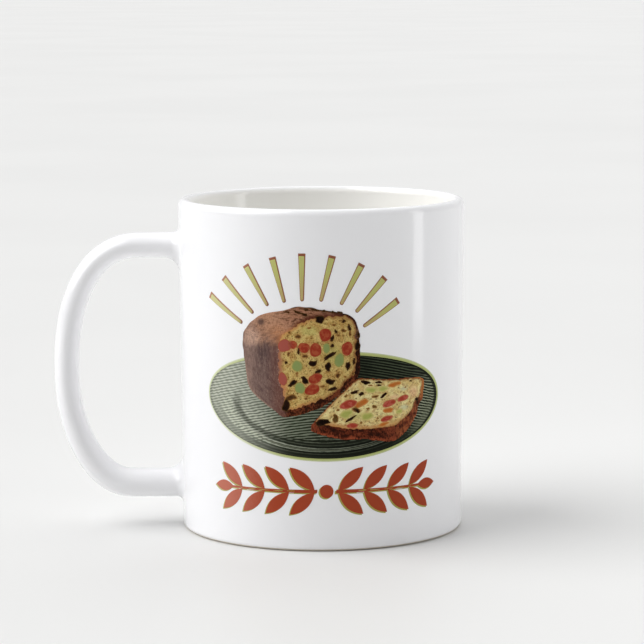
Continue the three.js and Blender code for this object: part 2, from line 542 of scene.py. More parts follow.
def bend_line(sizes, reach, arm_x, arm_z, fullness):
    """A quarter superellipse from the end of an arm to the widest point, at equal steps.

    x = arm + (reach - arm) sin(a)^(2/n) and z = widest + (arm_z - widest) cos(a)^(2/n), for n
    the fullness. Returns the distance out, the height and the direction of the run there.
    """
    angle = np.linspace(0, math.pi / 2, BEND_SAMPLES)
    power = 2 / fullness
    out = arm_x + (reach - arm_x) * np.sin(angle) ** power
    height = sizes.widest + (arm_z - sizes.widest) * np.clip(np.cos(angle), 0, 1) ** power
    travel = np.concatenate([[0], np.cumsum(np.hypot(np.diff(out), np.diff(height)))])
    even = np.linspace(0, travel[-1], BEND_ROWS + 1)
    out, height = np.interp(even, travel, out), np.interp(even, travel, height)
    run = np.stack([np.gradient(out), np.gradient(height)], 1)
    run[0] = (1, 0)
    run[-1] = (0, np.sign(sizes.widest - arm_z))
    return out, height, run / np.linalg.norm(run, axis=1, keepdims=True)


def handle_half(cup, sizes, reach, arm_x, arm_z, arm_depth, fullness):
    """Rings of half the handle, from the foot of its root's fillet to the widest point.

    A ring is an ellipse across the run: half width along Y, half depth towards and away from
    the loop. The fillet leaves the bar at its radius from the wall and turns a quarter circle
    into the wall, the radius growing from the outer side to the inner one.
    """
    across, out = window_loop()
    angle = np.arctan2(across, out)
    sine, cosine = np.sin(angle), np.cos(angle)
    side = np.sign(arm_z - sizes.widest)
    radius = sizes.side_fillet + cosine**2 * np.where(
        cosine > 0, sizes.outer_fillet - sizes.side_fillet, sizes.inner_fillet - sizes.side_fillet
    )
    section = np.stack([sizes.half_width * sine, arm_depth * cosine], 1)
    normal = np.stack([sine / sizes.half_width, cosine / arm_depth], 1)
    normal /= np.linalg.norm(normal, axis=1, keepdims=True)

    turn = np.linspace(math.pi / 2, 0, FILLET_ROWS + 1)[:, None]
    spread = section + (radius * (1 - np.cos(turn)))[..., None] * normal
    height = arm_z + side * spread[..., 1]
    wall = np.sqrt(wall_radius(cup, height) ** 2 - spread[..., 0] ** 2)
    distance = wall + radius * (1 - np.sin(turn))
    fillet = np.stack([-distance, spread[..., 0], height], -1)

    share = np.linspace(0, 1, ARM_ROWS + 2)[1:-1, None]
    arm_out = distance[-1] + (arm_x - distance[-1]) * share
    flat = np.broadcast_to(section, (ARM_ROWS, *section.shape))
    arm = np.stack([-arm_out, flat[..., 0], arm_z + side * flat[..., 1]], -1)

    line_out, line_z, run = bend_line(sizes, reach, arm_x, arm_z, fullness)
    climb = (line_z - sizes.widest) / (arm_z - sizes.widest)
    depth = sizes.grip_depth + (arm_depth - sizes.grip_depth) * climb**2
    away = side * np.stack([-run[:, 1], run[:, 0]], 1)
    offset = (depth[:, None] * cosine)[..., None] * away[:, None, :]
    bend = np.stack(
        [
            -(line_out[:, None] + offset[..., 0]),
            np.broadcast_to(sizes.half_width * sine, offset.shape[:2]),
            line_z[:, None] + offset[..., 1],
        ],
        -1,
    )
    return np.concatenate([fillet, arm, bend])


def apron(cup, foot_ring, window):
    """Rings on the wall from the foot of a fillet to its window's edge, without both ends.

    Angle and height go in even shares from one to the other, and the radius is the wall's.
    """
    share = np.linspace(0, 1, APRON_ROWS + 1)[1:-1, None]
    angle_a = np.arctan2(foot_ring[:, 0], -foot_ring[:, 1])
    angle_b = np.arctan2(window[:, 0], -window[:, 1])
    angle = angle_a + (angle_b - angle_a) * share
    height = foot_ring[:, 2] + (window[:, 2] - foot_ring[:, 2]) * share
    return around(wall_radius(cup, height), angle, height)


class MUG_OT_cup(bpy.types.Operator):
    """Build the cup and its handle as one closed mesh"""

    bl_idname = "mug.cup"
    bl_label = "Cup and handle"

    def execute(self, context):
        cup, handle = context.scene.mug_cup, context.scene.mug_handle
        skin = Skin()
        profile, wall_start, wall_end = cup_profile(cup)
        columns = np.arange(CUP_COLUMNS) * 2 * math.pi / CUP_COLUMNS
        rows = skin.add(around(profile[:, :1], columns[None, :], profile[:, 1:]))
        handle_column = CUP_COLUMNS * 3 // 4  # a quarter turn back from -Y is -X

        reach = -MUG_LOW.x - handle.grip_depth
        halves = []
        kept = np.ones((len(profile) - 1, CUP_COLUMNS), bool)
        for arm_x, arm_z, depth, fullness in (
            (handle.upper_bend, handle.upper_arm, handle.upper_depth, handle.upper_fullness),
            (handle.lower_bend, handle.lower_arm, handle.lower_depth, handle.lower_fullness),
        ):
            side = 1 if arm_z > handle.widest else -1
            inside = arm_z - side * (handle.inner_fillet - handle.outer_fillet) / 2
            wall_rows = np.arange(wall_start, wall_end)
            nearest = wall_rows[np.argmin(abs(profile[wall_rows, 1] - inside))]
            low = max(wall_start, nearest - WINDOW_ROWS // 2)
            first_column = handle_column - WINDOW_COLUMNS // 2
            kept[low : low + WINDOW_ROWS, first_column : first_column + WINDOW_COLUMNS] = False
            across, out = window_loop()
            loop_row = low + np.round((1 + side * out) * WINDOW_ROWS / 2).astype(int)
            loop_column = handle_column - np.round(across * WINDOW_COLUMNS / 2).astype(int)
            window = rows[loop_row, loop_column]
            edge = around(profile[loop_row, 0], columns[loop_column], profile[loop_row, 1])
            rings = handle_half(cup, handle, reach, arm_x, arm_z, depth, fullness)
            band = apron(cup, rings[0], edge)
            halves.append((window, band, rings))

        upper, lower = halves
        upper_loops = [*skin.add(upper[1])[::-1], *skin.add(upper[2])]
        lower_loops = [*skin.add(lower[1])[::-1], *skin.add(lower[2][:-1])]
        skin.tube([upper[0], *upper_loops, *lower_loops[::-1], lower[0]])

        below, above = rows[:-1], rows[1:]
        cells = np.stack([below, np.roll(below, -1, 1), np.roll(above, -1, 1), above], -1)
        skin.quads(cells[kept])
        base_middle, floor_middle = skin.add([[0, 0, 0], [0, 0, cup.floor_thickness]])
        skin.fan(rows[0], base_middle)
        skin.fan(rows[-1], floor_middle)

        mesh = skin.mesh("mug_body")
        face_outwards(mesh)
        mesh.shade_smooth()
        body = piece(mesh, glaze_finish(context.scene.mug_colours, cup.foot_corner))
        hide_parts("mug")
        return {"FINISHED"}


# --- Print: flat outlines in millimetres, wrapped on the cup ---


def even_steps(outline, count):
    """The same closed outline with its points at equal steps along it."""
    closed = np.concatenate([outline, outline[:1]])
    travel = np.concatenate([[0], np.cumsum(np.linalg.norm(np.diff(closed, axis=0), axis=1))])
    even = np.linspace(0, travel[-1], count, endpoint=False)
    return np.stack([np.interp(even, travel, closed[:, k]) for k in (0, 1)], 1)


def closed_curve(corners, count):
    """A closed Catmull-Rom curve through the corners, at equal steps along it."""
    corners = np.array(corners, float)
    place = np.linspace(0, len(corners), CURVE_SAMPLES * len(corners), endpoint=False)
    number = place.astype(int)
    t = (place - number)[:, None]
    before, start, end, after = (corners[(number + k) % len(corners)] for k in (-1, 0, 1, 2))
    curve = start + 0.5 * t * (
        end - before
        + t * (2 * before - 5 * start + 4 * end - after + t * (3 * (start - end) + after - before))
    )
    return even_steps(curve, count)


def rough_edge(outline, depth, waves, seed):
    """The outline moved in and out along its normal by a few sine waves of seeded phase."""
    rng = np.random.default_rng(seed)
    along = np.linspace(0, 2 * math.pi, len(outline), endpoint=False)
    run = np.roll(outline, -1, 0) - np.roll(outline, 1, 0)
    normal = np.stack([run[:, 1], -run[:, 0]], 1) / np.linalg.norm(run, axis=1, keepdims=True)
    counts = rng.integers(*waves, EDGE_WAVES)
    phases = rng.uniform(0, 2 * math.pi, EDGE_WAVES)
    wave = np.sin(along[:, None] * counts + phases).sum(1) / math.sqrt(EDGE_WAVES)
    return outline + depth * wave[:, None] * normal


def blob(middle, half_size, turn, seed, lumps=0.06, count=40):
    """An uneven ellipse: its radius is 1 plus sine waves two to six times round it."""
    rng = np.random.default_rng(seed)
    angle = np.linspace(0, 2 * math.pi, count, endpoint=False)
    order = np.arange(2, 7)
    phases = rng.uniform(0, 2 * math.pi, len(order))
    radius = 1 + lumps * (np.sin(angle[:, None] * order + phases) * (2 / order)).sum(1)
    x, y = half_size[0] * radius * np.cos(angle), half_size[1] * radius * np.sin(angle)
    c, s = math.cos(math.radians(turn)), math.sin(math.radians(turn))
    return np.stack([middle[0] + c * x - s * y, middle[1] + s * x + c * y], 1)


def edge_distance(points, outline):
    """The distance from each point to the nearest stretch of the outline."""
    start, run = outline, np.roll(outline, -1, 0) - outline
    offset = points[:, None, :] - start
    share = np.clip((offset * run).sum(-1) / (run**2).sum(-1), 0, 1)
    return np.linalg.norm(offset - share[..., None] * run, axis=-1).min(1)


def print_field(name, outlines, level, material, rings=6):
    """Thin closed shells, one for each outline, wrapped on the cup's wall at a level of layers.

    A point is middle + u (outline - middle), for u from 0 in the middle to 1 at the outline,
    close together near it. It is (s, z) on the flat layout, and on the cup it stands at the
    angle s / radius and the height z, once above the wall and once a little inside it.
    """
    cup = bpy.context.scene.mug_cup
    skin, layout, extra = Skin(), [], []
    share = np.sin(np.linspace(0, math.pi / 2, rings + 1))[1:, None, None]
    for outline in outlines:
        middle = outline.mean(0)
        flat = middle + share * (outline - middle)
        every = np.concatenate([flat.reshape(-1, 2), [middle]])
        inwards = edge_distance(every, outline)
        for lift in (level * LAYER, -ROOT):
            height = every[:, 1] * MM
            radius = wall_radius(cup, height) + lift
            numbers = skin.add(around(radius, every[:, 0] / PRINT_RADIUS, height))
            loops = numbers[:-1].reshape(rings, -1)
            skin.tube(loops)
            skin.fan(loops[0], numbers[-1])
            layout.append(np.column_stack([every, inwards]))
            extra.append(np.column_stack([every - middle, np.full(len(every), lift < 0)]))
            if lift > 0:
                top_edge = loops[-1]
        skin.bridge(top_edge, loops[-1])
    mesh = skin.mesh(name)
    face_outwards(mesh)
    mesh.shade_smooth()
    values = np.concatenate(layout)
    spread_print(mesh, values[:, :2], np.concatenate(extra))
    mesh.attributes.new("layout", "FLOAT_VECTOR", "POINT").data.foreach_set(
        "vector", values.astype(np.float32).ravel()
    )
    mark_rims(mesh)
    piece(mesh, material)


def spread_print(mesh, places, extra):
    """Lays the faces out flat: the outer side as (s, z), and the side against the glaze squeezed
    into a strip below it. The walls between them open outwards by a small margin.
    """
    number = np.empty(len(mesh.loops), int)
    mesh.loops.foreach_get("vertex_index", number)
    sizes = np.empty(len(mesh.polygons), int)
    mesh.polygons.foreach_get("loop_total", sizes)
    owner = np.repeat(np.arange(len(sizes)), sizes)
    hidden = extra[number, 2]
    share = (np.bincount(owner, hidden) / sizes)[owner]
    away = extra[number, :2] / np.maximum(np.linalg.norm(extra[number, :2], axis=1), 1e-9)[:, None]
    spots = places[number] + SHEET_GAP * away * (hidden * (share < 1))[:, None]
    even = (spots - spots.min(0)) / (spots.max(0) - spots.min(0))
    across = SHEET_SIDES[0] + SHEET_SIDES[1] * even[:, 0]
    start, height = np.where(share[:, None] == 1, HIDDEN_STRIP, OUTER_STRIP).T
    up = start + height * even[:, 1]
    sheet = mesh.uv_layers.new(name="OFBake")
    sheet.uv.foreach_set("vector", np.column_stack([across, up]).astype(np.float32).ravel())


def mark_rims(mesh):
    """Shades the narrow walls round each field flat, so that its face keeps the cup's gloss."""
    normals = np.empty(len(mesh.polygons) * 3)
    mesh.polygons.foreach_get("normal", normals)
    middles = np.empty(len(mesh.polygons) * 3)
    mesh.polygons.foreach_get("center", middles)
    normals, middles = normals.reshape(-1, 3), middles.reshape(-1, 3)
    outward = middles * (1, 1, 0)
    outward /= np.linalg.norm(outward, axis=1, keepdims=True)
    level = abs((normals * outward).sum(1)) > LEVEL_FACE
    mesh.polygons.foreach_set("use_smooth", level)
    mesh.update()


# The picture's outlines, as (round the cup, up it) in millimetres from the middle of the front.
PLATE_MIDDLE = np.array([0.7, 40.85])
LINE_SIDES, LINE_SHIFT = 0.72, np.array([0.1, 0.08])  # shares of the plate line's width
FAN_MIDDLE = np.array([-5.4, 55.4])
FAN_SIZE = (34, 27.5)  # half its width and its height
RAY_TIP, RAY_SHIFT = 0.55, (0.06, 0.1)  # half the width of a ray's inner end, and its shift
FILL_TIP, FILL_SHIFT = 0.36, (-0.02, -0.03)  # the same for the fill
FILL_INSET = (0.62, 0.75, 0.26)  # the fill stays back this far from a ray's ends and sides
BORDER_MIDDLE = np.array([1.2, 17.0])
BERRY = 1.9  # radius
STEM_START, STEM_REST = 2.6, 0.5  # from the middle, and past the last step of leaves
STEM_WIDTHS = (0.5, 0.28)  # half its width at both ends
LEAF_START, LEAF_STEP, END_LEAF_REST = 3.0, 7.2, 2.6  # along the stem
LEAF_OUT = 5.2  # from the stem to a leaf's middle, along the leaf
LEAF_SIZE, END_LEAF_SIZE = (4.7, 1.75), (3.4, 1.5)  # half its length and half its width
LEAF_TURN = math.radians(42)  # from the stem
SHADOW_SHIFT = (-0.4, -0.32)  # of the shadow line behind the leaves
RIB = 0.766  # from one rib of the plate to the next
DASH = 2.4  # from one dash across the ribs to the next
RING = 0.052  # from one ring low on the plate to the next, as a share of its radius
# Each ray's outer end and inner end
RAYS = [
    (-35.2, 70.2, -23.1, 63.15), (-29.6, 75.4, -19.55, 66.05), (-21.9, 79.35, -15.1, 68.3),
    (-13.75, 81.8, -10.3, 69.35), (-5.4, 83.0, -5.4, 69.8), (2.95, 82.4, -0.3, 69.75),
    (11.15, 79.9, 5.2, 68.8), (17.95, 75.95, 9.4, 66.65), (22.1, 69.4, 11.5, 62.6),
]  # fmt: skip
LOAF = [
    (-22.9, 60.0), (-22.7, 55.0), (-21.9, 49.0), (-21.4, 46.3), (-19.9, 44.1), (-17.3, 42.0),
    (-13.1, 39.2), (-11.6, 38.0), (-9.4, 37.7), (-4.6, 38.9), (1.8, 41.7), (6.0, 45.2),
    (10.1, 48.9), (10.6, 56.0), (10.3, 61.2), (9.2, 64.6), (7.0, 66.2), (3.0, 67.1), (0.0, 67.6),
    (-3.6, 68.3), (-7.2, 68.4), (-9.4, 67.6), (-12.4, 66.9), (-16.6, 66.1), (-20.6, 63.4),
]  # fmt: skip
CUT_FACE = [
    (-11.6, 59.2), (-8.2, 62.2), (-4.2, 64.6), (0.6, 65.5), (5.2, 65.9), (7.8, 65.2),
    (9.2, 63.2), (9.5, 58.0), (9.3, 50.9), (7.2, 48.3), (3.6, 44.6), (-0.6, 42.6),
    (-8.2, 39.9), (-9.9, 40.4), (-10.9, 45.0), (-12.0, 50.5),
]  # fmt: skip
SLICE = [
    (-3.0, 35.2), (-1.8, 36.9), (2.4, 41.5), (6.6, 45.5), (9.8, 48.2), (13.0, 48.2),
    (20.3, 47.6), (27.0, 47.5), (30.7, 47.0), (31.4, 45.6), (31.0, 41.6), (29.4, 39.4),
    (28.4, 36.6), (26.2, 33.8), (23.0, 31.2), (19.4, 30.2), (12.0, 31.4), (6.0, 31.5),
    (1.0, 32.6), (-2.6, 33.8),
]  # fmt: skip
SLICE_FACE = [
    (-1.7, 36.6), (2.6, 41.4), (6.8, 45.35), (10.0, 47.95), (14.0, 47.95), (20.3, 47.35),
    (26.6, 47.25), (30.3, 46.7), (30.6, 45.6), (29.8, 42.2), (28.0, 41.0), (27.6, 39.6),
    (26.0, 37.6), (23.0, 35.6), (20.6, 34.5), (12.0, 34.2), (6.4, 34.6), (0.8, 35.8),
]  # fmt: skip

# Fruit, as (round the cup, up it, half width, half height, turn in degrees)
LOAF_CHERRIES = [
    (1.0, 60.7, 1.7, 1.8, 20), (-10.3, 57.6, 1.9, 1.8, 10), (-8.0, 57.9, 1.2, 1.2, 0),
    (-4.9, 57.1, 1.7, 1.4, -15), (-1.7, 56.5, 1.7, 1.9, 0), (7.0, 56.8, 1.6, 1.9, -12),
    (-10.9, 48.3, 1.25, 1.8, 5), (-1.8, 48.6, 2.1, 1.3, 25), (-2.7, 45.5, 2.1, 1.5, 25),
]  # fmt: skip
LOAF_GREENS = [
    (-6.8, 52.0, 1.4, 1.6, 0), (1.3, 57.0, 1.0, 1.4, 5), (4.8, 53.6, 1.3, 2.0, -8),
    (-6.1, 45.9, 1.4, 1.6, 5),
]  # fmt: skip
LOAF_RAISINS = [
    (-0.5, 65.0, 1.4, 1.0, -20), (6.1, 64.4, 0.55, 0.45, 0), (7.6, 62.6, 0.45, 0.9, 10),
    (2.9, 59.7, 0.5, 0.9, -10), (2.9, 57.7, 0.45, 0.6, 0), (1.7, 51.9, 0.95, 1.1, 0),
    (-2.5, 52.8, 1.35, 0.7, 10), (2.2, 54.9, 2.2, 0.5, 35), (7.2, 52.0, 0.6, 1.3, -12),
    (-1.0, 50.6, 1.0, 0.45, 30), (2.3, 47.7, 1.15, 0.9, 0), (3.0, 45.7, 1.15, 0.55, 20),
    (-8.1, 47.2, 1.5, 0.6, 45), (-4.7, 48.1, 1.3, 0.75, -40), (-10.0, 40.9, 1.1, 1.7, 0),
    (9.9, 57.5, 0.75, 1.4, 5), (-6.4, 56.1, 0.35, 0.9, 5),
    (-6.6, 66.9, 1.1, 0.35, -18), (-4.7, 66.3, 0.9, 0.4, -12), (-1.9, 67.6, 1.1, 0.3, -5),
    (10.2, 60.5, 0.4, 0.9, 0), (-9.6, 66.9, 0.8, 0.25, -8), (3.0, 67.0, 0.5, 0.3, 0),
    (3.9, 61.6, 0.4, 0.6, 15), (8.9, 53.2, 0.4, 0.9, 0), (-9.9, 52.9, 0.4, 0.5, 0),
    (-4.2, 67.6, 0.7, 0.3, 0), (0.6, 67.3, 0.6, 0.3, -5), (5.1, 66.8, 0.7, 0.35, -10),
]  # fmt: skip
LOAF_DIMPLES = [
    (-6.5, 60.2, 0.8, 0.7, 15), (-4.6, 54.8, 0.8, 0.6, 0), (4.4, 49.4, 0.8, 0.7, 0),
    (6.0, 61.8, 0.8, 0.55, 0), (7.8, 60.9, 0.45, 0.8, 10), (4.6, 60.5, 0.45, 0.4, 0),
    (-8.9, 61.3, 0.5, 0.4, 20), (8.6, 49.9, 0.5, 0.6, 0), (0.2, 46.4, 0.7, 0.4, 20),
    (-9.2, 55.3, 0.5, 0.6, 0), (3.4, 63.4, 0.7, 0.35, 0), (-3.4, 62.6, 0.6, 0.3, 15),
    (-6.9, 50.0, 0.4, 0.4, 0), (6.4, 49.0, 0.4, 0.35, 0), (-4.4, 43.0, 0.6, 0.35, 20),
    (-8.6, 43.2, 1.7, 0.9, 5),
]  # fmt: skip
SLICE_CHERRIES = [
    (7.3, 41.3, 2.6, 1.15, 14), (19.3, 40.9, 2.2, 0.95, 12), (23.8, 42.0, 1.9, 0.85, 12),
    (18.5, 36.7, 1.9, 0.8, 14), (8.4, 35.3, 1.7, 0.75, 0),
]  # fmt: skip
SLICE_ORANGES = [
    (11.0, 41.4, 2.3, 0.9, 22), (21.0, 46.1, 2.0, 0.75, 8), (19.0, 39.0, 1.6, 0.8, 0),
    (17.6, 35.2, 1.6, 0.6, 10),
]  # fmt: skip
SLICE_GREENS = [
    (6.7, 38.6, 2.0, 1.05, 12), (12.7, 37.7, 1.9, 1.0, 15), (17.4, 45.1, 1.6, 0.75, 0),
    (13.8, 45.0, 1.9, 0.75, 0), (22.6, 38.4, 1.2, 0.6, 10),
]  # fmt: skip
SLICE_RAISINS = [
    (12.2, 47.2, 1.3, 0.55, -5), (16.0, 47.0, 1.2, 0.3, 0), (9.0, 44.6, 1.0, 0.5, 10),
    (11.0, 44.1, 0.75, 0.5, 0), (17.6, 43.3, 1.2, 0.4, 30), (16.2, 46.2, 0.7, 0.25, 0),
    (7.9, 37.2, 1.6, 0.4, 28), (0.1, 36.4, 2.2, 0.85, 4), (28.6, 41.2, 0.6, 0.5, 0),
    (9.8, 39.4, 0.7, 0.5, -30), (26.4, 46.6, 0.5, 0.2, 0),
]  # fmt: skip
SLICE_DIMPLES = [
    (15.0, 43.1, 1.1, 0.4, 0), (14.8, 40.3, 0.75, 0.5, 0), (9.5, 39.7, 1.1, 0.8, -30),
    (3.7, 37.4, 0.9, 1.2, 15), (4.4, 39.8, 0.5, 0.35, 30), (13.6, 46.3, 0.6, 0.25, 0),
    (6.6, 43.6, 0.5, 0.4, 20), (12.9, 39.9, 0.5, 0.3, 0), (24.6, 45.0, 0.35, 0.25, 0),
    (10.9, 36.0, 0.5, 0.3, 0), (15.8, 37.0, 0.4, 0.25, 0),
]  # fmt: skip


def ellipse(middle, half_width, half_height, count):
    """Points of an ellipse: middle + (half width cos a, half height sin a)."""
    angle = np.linspace(0, 2 * math.pi, count, endpoint=False)
    return middle + np.stack([half_width * np.cos(angle), half_height * np.sin(angle)], 1)


def line_finish(colours):
    """Pale line round the plate: lighter outside, painted sheen to the left, faint ink mottling."""
    ink = Ink("plate_line_ink", colours.line)
    mottle = ink.mottle(1.5)
    outer = ink.ease(ink.inwards + 0.3 * (mottle - 0.5), 0.05, 0.5, 1, 0)
    # painted sheen: the line's left part is paler, for the glaze's reflection of the key light
    left = ink.sideways(-38, -5, 0.7, 0) + 0.7 * ink.upwards(41, 33) * ink.sideways(-8, -26)
    ink.lay(left, colours.line_pale)
    ink.lay(ink.ease(ink.inwards, 0.55, 0.95) * 0.35, seen(140, 150, 96))
    # the outer edge is lighter, and near white at the left as painted sheen
    ink.lay(outer * 0.8, ink.mix(left, seen(206, 212, 178), seen(240, 241, 232)))
    return ink.done(mottle)


def plate_bend(across):
    """How far the plate's outline and rings stand above an ellipse's: 0.001 s^2 - 0.012 s."""
    return across * (0.0010 * across - 0.012)


def plate_finish(colours, sizes):
    """Ribbed glazed plate: pale to the left, near black to the right, with a dark well's edge.

    The ribs are a sine wave up the plate, along lines that fall away to both sides of the
    middle as a hyperbola. The well and the rim are rings at shares of the plate's radius.
    """
    ink = Ink("plate_ink")
    side = (ink.across - PLATE_MIDDLE[0]) / sizes.plate_half_width
    rise = (ink.up - PLATE_MIDDLE[1] - plate_bend(ink.across)) / sizes.plate_half_height
    radius = (side * side + rise * rise) ** 0.5
    low = ink.ease(rise, -0.5, -0.72) * ink.ease(side, -0.7, -0.35)
    # leftward: the pictured plate's lit side, with painted sheen of the glaze's reflection of the
    # key light on it
    leftward = ink.ease(side, -0.2, -0.78)
    rightward = ink.ease(side, -0.2, 0.35)

    off = ink.across - 1
    wander = ink.streaks((0.1, 0.35), detail=1)
    fine = ink.streaks((0.9, 1.6), detail=3, roughness=0.7)
    fall = 0.25 * ((off * off + 110) ** 0.5)
    wave = ink.sine((ink.up + fall + 0.5 * wander) * (2 * math.pi / RIB))
    rings = ink.sine(radius * (2 * math.pi / RING) + 2.0 + 2 * wander)
    dashes = ink.sine((ink.across + 0.9 * ink.up) * (2 * math.pi / DASH) + 3 * wander)
    wave = low * rings + (1 - low) * wave + 0.4 * leftward * dashes
    ribs = ink.ease(wave + 1.6 * (fine - 0.5) - 0.3 * rightward - 0.45 * low, -0.6, 0.75)

    light = ink.mix(leftward, colours.plate_middle, colours.plate_light)
    light = ink.mix(rightward, light, colours.plate_dark)
    deep = ink.mix(leftward, seen(40, 46, 32), seen(134, 138, 124))
    deep = ink.mix(rightward, deep, seen(16, 19, 11))
    glint = leftward * ink.ease(rise, 0.0, -0.3)
    light = ink.mix(glint * 0.6, light, seen(216, 220, 200))
    corner = ink.ease(side, 0.62, 0.84) * ink.ease(rise, 0.5, 0.15) * ink.ease(rise, -0.85, -0.55)
    light = ink.mix(corner * 0.9, light, seen(162, 168, 140))
    deep = ink.mix(corner * 0.5, deep, seen(40, 46, 30))
    bottom = ink.ease(rise, -0.45, -0.75) * ink.ease(side, -0.5, -0.15) * ink.ease(side, 0.7, 0.5)
    light = ink.mix(bottom * 0.7, light, seen(116, 123, 104))
    deep = ink.mix(bottom * 0.8, deep, seen(14, 17, 9))

    below = ink.ease(rise, 0.25, -0.15)
    well = ink.ease(radius, 0.645, 0.685) * ink.ease(radius, 0.755, 0.715)
    shelf = ink.ease(radius, 0.72, 0.77) * ink.ease(radius, 0.86, 0.82) * below
    gleam = ink.ease(radius, 0.785, 0.795) * ink.ease(radius, 0.81, 0.80)
    gleam = gleam * ink.ease(rise, -0.35, -0.75) * ink.ease(side, 0.62, 0.2)
    edge = ink.ease(radius + 0.012 * ink.ease(side, 0.3, 0.8), 0.948, 0.964)
    blur = ink.ease(radius, 0.85, 0.88) * ink.ease(rise, 0.05, -0.4)
    shade = blur * ink.ease(side, -0.95, 0.0, 0.35, 0.85) * ink.ease(side, 0.7, 0.5)
    near_loaf = ink.sideways(8, 20, 1, 0) * ink.sideways(7, 10) * ink.upwards(45, 50)

    ink.ground = ink.mix(ribs * (1 - 0.5 * blur) + 0.2 * blur, deep, light)
    ink.lay(shelf * ribs * ink.ease(side, 0.0, -0.6, 0.08, 0.6), seen(200, 205, 186))
    ink.lay(gleam * 0.35, seen(170, 176, 150))
    ink.lay(well * below * ink.ease(side, -0.6, 0.0, 0.58, 0.7), seen(34, 38, 28))
    ink.lay(shade, ink.mix(leftward, seen(18, 21, 12), seen(104, 107, 100)))
    ink.lay(edge * ink.ease(side, -1.0, 0.0, 0.25, 0.9), seen(18, 22, 10))
    ink.lay(near_loaf * 0.6, seen(12, 15, 9))
    return ink.done(fine)


class MUG_OT_plate(bpy.types.Operator):
    """Build the printed plate and the pale line round it"""

    bl_idname = "mug.plate"
    bl_label = "Printed plate"

    def execute(self, context):
        sizes, colours = context.scene.mug_print, context.scene.mug_colours
        outlines = []
        for inset in (0, sizes.plate_line):
            half = (sizes.plate_half_width - LINE_SIDES * inset, sizes.plate_half_height - inset)
            outline = ellipse(PLATE_MIDDLE - inset * LINE_SHIFT, *half, PLATE_POINTS)
            outline[:, 1] += plate_bend(outline[:, 0])
            outlines.append(outline)
        line, plate = outlines
        print_field("print_plate_line", [line], 1, line_finish(colours), rings=40)
        print_field("print_plate", [plate], 2, plate_finish(colours, sizes), rings=40)
        return {"FINISHED"}


